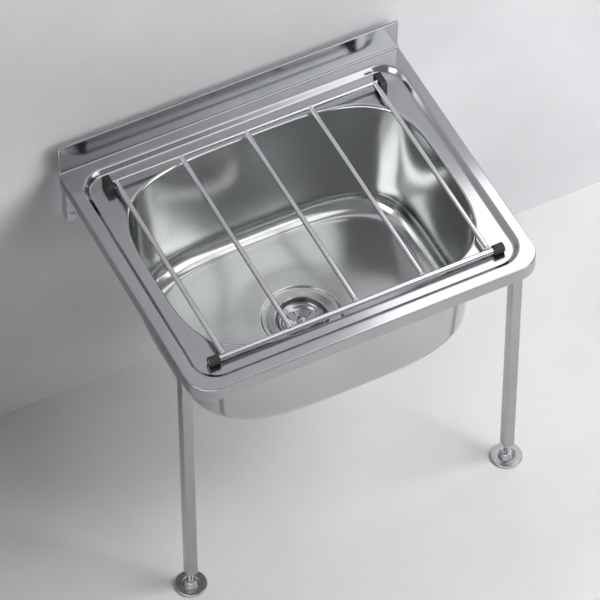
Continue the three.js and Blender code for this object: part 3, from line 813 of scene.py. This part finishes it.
# %% Screw feet
STUD_CHAMFER = 0.6 * MM
for side in ("left", "right"):
    low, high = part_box(f"{side}_foot_pad")
    centre = Vector(((low.x + high.x) / 2, (low.y + high.y) / 2, low.z))
    rim_r, top_z = (high.x - low.x) / 2 / MM, (high.z - low.z) / MM
    pad_profile = [
        (0, 0), (rim_r - 1, 0), (rim_r, 1), (rim_r, 3), (rim_r - 0.5, 4.1), (rim_r - 1.5, 4.5),
        (15.6, 4.5), (14.8, 4.2), (14.2, 3.6), (13.6, 3.6), (13.1, 4.4), (9.6, top_z - 1.6),
        (8.9, top_z - 0.5), (7.8, top_z), (0, top_z),
    ]
    pad = turned(pad_profile, centre, steps=80, closed=False)
    make_piece(pad, f"{side}_foot_disc", waste_steel, f"{side}_foot",
               [f"{side}_foot_pad"], sharp=50)
    low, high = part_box(f"{side}_foot_stud")
    bm = bmesh.new()
    rod(bm, (centre.x, centre.y, low.z), (centre.x, centre.y, high.z), (high.x - low.x) / 2,
        STUD_CHAMFER)
    make_piece(bm, f"{side}_foot_stud_shank", rod_steel, f"{side}_foot",
               [f"{side}_foot_stud"])

# %% [markdown]
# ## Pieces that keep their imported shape
# Strips, plates, washers, screws and the back nut are already right as solids, so they stay and only get
# their finish. The brackets are zinc plated, and the seals are the same rubber as the sleeves.

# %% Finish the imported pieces
finishes = {
    "wall_bracket": zinc,
    "wall_screw": zinc,
    "leg_plate": satin_steel,
    "leg_insert": zinc,
    "seal": black_rubber,
    "slip_ring": grey_plastic,
    "back_nut": waste_steel,
}
for name, node in nodes.items():
    for word, material in finishes.items():
        if word in name and not node.hide_render:
            node.data.materials.clear()
            node.data.materials.append(material)
print("kept:", sorted(n for n, o in nodes.items() if not o.hide_render))

# %% [markdown]
# ## The room
# Polished steel is mostly a picture of what is round it, so the room matters as much as the shader. A
# pale floor and a pale wall stand where the real ones would, and carry the sink's shadow. A solid wall
# would hide the sink from behind. Here it is clear to a ray that meets its back, and to one that looks
# for a lamp, so the back can be looked at, and a lamp beyond the wall reaches it.

# %% Helper that makes plaster
PLASTER_ROUGHNESS = 0.7
PLASTER_SHADE = 0.86  # the darker clouds, as a share of the colour
PLASTER_CLOUDS, PLASTER_WAVES = 2.6, 9.0
PLASTER_BUMP = 0.12
PLASTER_HEIGHT = 2 * MM


def plaster(name, colour):
    material, tree, shader = new_finish(name, colour, 0.0, PLASTER_ROUGHNESS)
    dark = [PLASTER_SHADE * c for c in colour]
    clouds = add_noise(tree, PLASTER_CLOUDS, detail=6.0)
    tree.links.new(tint(tree, clouds, dark, colour), shader.inputs["Base Color"])
    waves = add_noise(tree, PLASTER_WAVES, detail=5.0)
    add_bump(tree, shader, waves, PLASTER_BUMP, PLASTER_HEIGHT)
    return material


# %% Helper that makes a wall clear from behind
def clear_from_behind(material):
    tree = material.node_tree
    side = tree.nodes.new("ShaderNodeNewGeometry")
    ray = tree.nodes.new("ShaderNodeLightPath")
    either = tree.nodes.new("ShaderNodeMath")
    either.operation = "MAXIMUM"
    clear = tree.nodes.new("ShaderNodeBsdfTransparent")
    mix = tree.nodes.new("ShaderNodeMixShader")
    tree.links.new(side.outputs["Backfacing"], either.inputs[0])
    tree.links.new(ray.outputs["Is Shadow Ray"], either.inputs[1])
    tree.links.new(either.outputs["Value"], mix.inputs["Fac"])
    tree.links.new(tree.nodes["Principled BSDF"].outputs["BSDF"], mix.inputs[1])
    tree.links.new(clear.outputs["BSDF"], mix.inputs[2])
    tree.links.new(mix.outputs["Shader"], tree.nodes["Material Output"].inputs["Surface"])
    return material


# %% Floor and wall
ROOM_WIDTH, FLOOR_LENGTH, WALL_HEIGHT = 9, 12, 3.0
WALL_GAP = 0.2 * MM


def backdrop(name, material, width, height, matrix):
    bm = bmesh.new()
    bmesh.ops.create_grid(bm, x_segments=2, y_segments=2, size=0.5)
    bmesh.ops.scale(bm, vec=(width, height, 1), verts=bm.verts[:])
    bmesh.ops.transform(bm, matrix=matrix, verts=bm.verts[:])
    mesh = bpy.data.meshes.new(name)
    bm.to_mesh(mesh)
    bm.free()
    mesh.materials.append(material)
    flat = bpy.data.objects.new(name, mesh)
    scene.collection.objects.link(flat)


floor_place = Matrix.Translation((0, 0, FLOOR_Z))
backdrop("floor", plaster("pale_floor", (0.78, 0.78, 0.78)), ROOM_WIDTH, FLOOR_LENGTH, floor_place)
wall_place = Matrix.Translation((0, WALL_GAP, FLOOR_Z + WALL_HEIGHT / 2))
wall_place = wall_place @ Matrix.Rotation(math.pi / 2, 4, "X")
wall_plaster = clear_from_behind(plaster("pale_wall", (0.76, 0.765, 0.785)))
backdrop("wall", wall_plaster, ROOM_WIDTH, WALL_HEIGHT, wall_place)
print("floor and wall placed")

# %% [markdown]
# ## Light for the room, boards for the steel
# In a studio, the light that fills the room and the cards that a polished thing reflects are two jobs.
# One lamp that does both leaves a white patch wherever the steel mirrors it. So the room's lamps aren't
# visible to glossy rays, and the boards aren't visible to diffuse rays. The steel then mirrors boards
# and no lamps, and a board can be moved to brighten one surface without changing the floor or the wall.

# %% Helper that makes an area lamp
SINK_MIDDLE = Vector((0, -0.25, -0.1))


def area_lamp(name, place, size, power, facing=SINK_MIDDLE):
    data = bpy.data.lights.new(name, "AREA")
    data.shape = "RECTANGLE"
    data.size, data.size_y = size
    data.energy = power
    lamp = bpy.data.objects.new(name, data)
    lamp.location = place
    lamp.rotation_euler = (Vector(facing) - Vector(place)).to_track_quat("-Z", "Y").to_euler()
    lamp.visible_camera = False
    scene.collection.objects.link(lamp)
    return lamp


# %% Lamps that light the room
ROOM_LAMPS = (  # name, place, size in metres, power in watts
    ("side_wash", (2.0, -1.6, 2.0), (2.0, 2.0), 96),
    ("far_wash", (1.6, -3.8, 1.8), (2.4, 2.0), 44),
)
for lamp_row in ROOM_LAMPS:
    area_lamp(*lamp_row).visible_glossy = False
print("the room is lit by", len(ROOM_LAMPS), "lamps")

# %% Boards that the steel reflects
BOARDS = (  # as above, and what it faces if that isn't the sink
    ("right_board", (1.38, -1.85, 1.60), (1.2, 1.2), 9.0),
    ("overhead_board", (0.75, -1.10, 2.80), (1.4, 0.9), 6.0),
    ("dim_board", (1.25, -1.87, 2.40), (1.3, 1.2), 4.4),
    ("front_board", (-0.75, -3.10, 0.62), (1.5, 1.2), 20.0),
    ("left_front_board", (-2.10, -2.35, 0.62), (1.5, 1.2), 24.0),
    ("left_board", (-2.40, -0.90, 1.68), (1.5, 1.2), 20.0),
    ("right_front_board", (2.10, -2.35, 0.62), (1.5, 1.2), 12.0),
    ("wall_board", (0.74, -0.02, 0.86), (0.95, 0.9), 4.4, (0.74, -1.0, 0.86)),
    ("back_board", (0.6, 2.6, 0.35), (2.4, 1.4), 14.0),
)
for board_row in BOARDS:
    area_lamp(*board_row).visible_diffuse = False
print("the steel reflects", len(BOARDS), "boards")

# %% [markdown]
# ## A pale surround
# Beyond the floor the camera would look into black, and so would the steel. Lighting the world evenly
# would mend that, but it would also fill every shadow. A Light Path node tells the rays apart, so that
# the camera sees a pale room, the steel sees a dim one, and almost no light comes from either.

# %% A world in three strengths
SEEN_BY_CAMERA = 0.60
SEEN_IN_STEEL = 0.22
FILL = 0.04

world = bpy.data.worlds.new("soft_studio")
world.use_nodes = True
surround = world.node_tree
background = surround.nodes["Background"]
background.inputs["Color"].default_value = (0.96, 0.97, 1.0, 1)
ray = surround.nodes.new("ShaderNodeLightPath")
glossy = surround.nodes.new("ShaderNodeMath")
glossy.operation = "MULTIPLY_ADD"
glossy.inputs[1].default_value = SEEN_IN_STEEL
glossy.inputs[2].default_value = FILL
seen = surround.nodes.new("ShaderNodeMath")
seen.operation = "MULTIPLY_ADD"
seen.inputs[1].default_value = SEEN_BY_CAMERA
surround.links.new(ray.outputs["Is Glossy Ray"], glossy.inputs[0])
surround.links.new(ray.outputs["Is Camera Ray"], seen.inputs[0])
surround.links.new(glossy.outputs["Value"], seen.inputs[2])
surround.links.new(seen.outputs["Value"], background.inputs["Strength"])
scene.world = world
scene.view_settings.view_transform = "Standard"

# %% [markdown]
# ## The camera
# The photograph was taken from the left and high up, with a long lens, so parallel edges stay nearly
# parallel. The place and the three angles were found by matching the straight edges of the sink.

# %% Place the camera
CAMERA_PLACE = Vector((-2.2110, -4.7117, 5.9737))
CAMERA_AZIMUTH, CAMERA_ELEVATION, CAMERA_ROLL = -26.453, 51.252, -0.184
FOCAL_PIXELS, FRAME_PIXELS = 4964.29, 600
SENSOR_WIDTH = 36
FARTHEST = 60

azimuth, elevation, roll = map(math.radians, (CAMERA_AZIMUTH, CAMERA_ELEVATION, CAMERA_ROLL))
back = Vector((math.sin(azimuth) * math.cos(elevation), -math.cos(azimuth) * math.cos(elevation),
               math.sin(elevation)))
level = Vector((math.cos(azimuth), math.sin(azimuth), 0))
upward = back.cross(level)
right = level * math.cos(roll) + upward * math.sin(roll)
turned_frame = Matrix((right, back.cross(right), back)).transposed().to_4x4()
camera = bpy.data.objects.new("camera", bpy.data.cameras.new("camera"))
camera.data.sensor_width = SENSOR_WIDTH
camera.data.lens = FOCAL_PIXELS / FRAME_PIXELS * camera.data.sensor_width
camera.data.clip_end = FARTHEST
camera.matrix_world = Matrix.Translation(CAMERA_PLACE) @ turned_frame
scene.collection.objects.link(camera)
scene.camera = camera
print("lens", round(camera.data.lens), "mm")
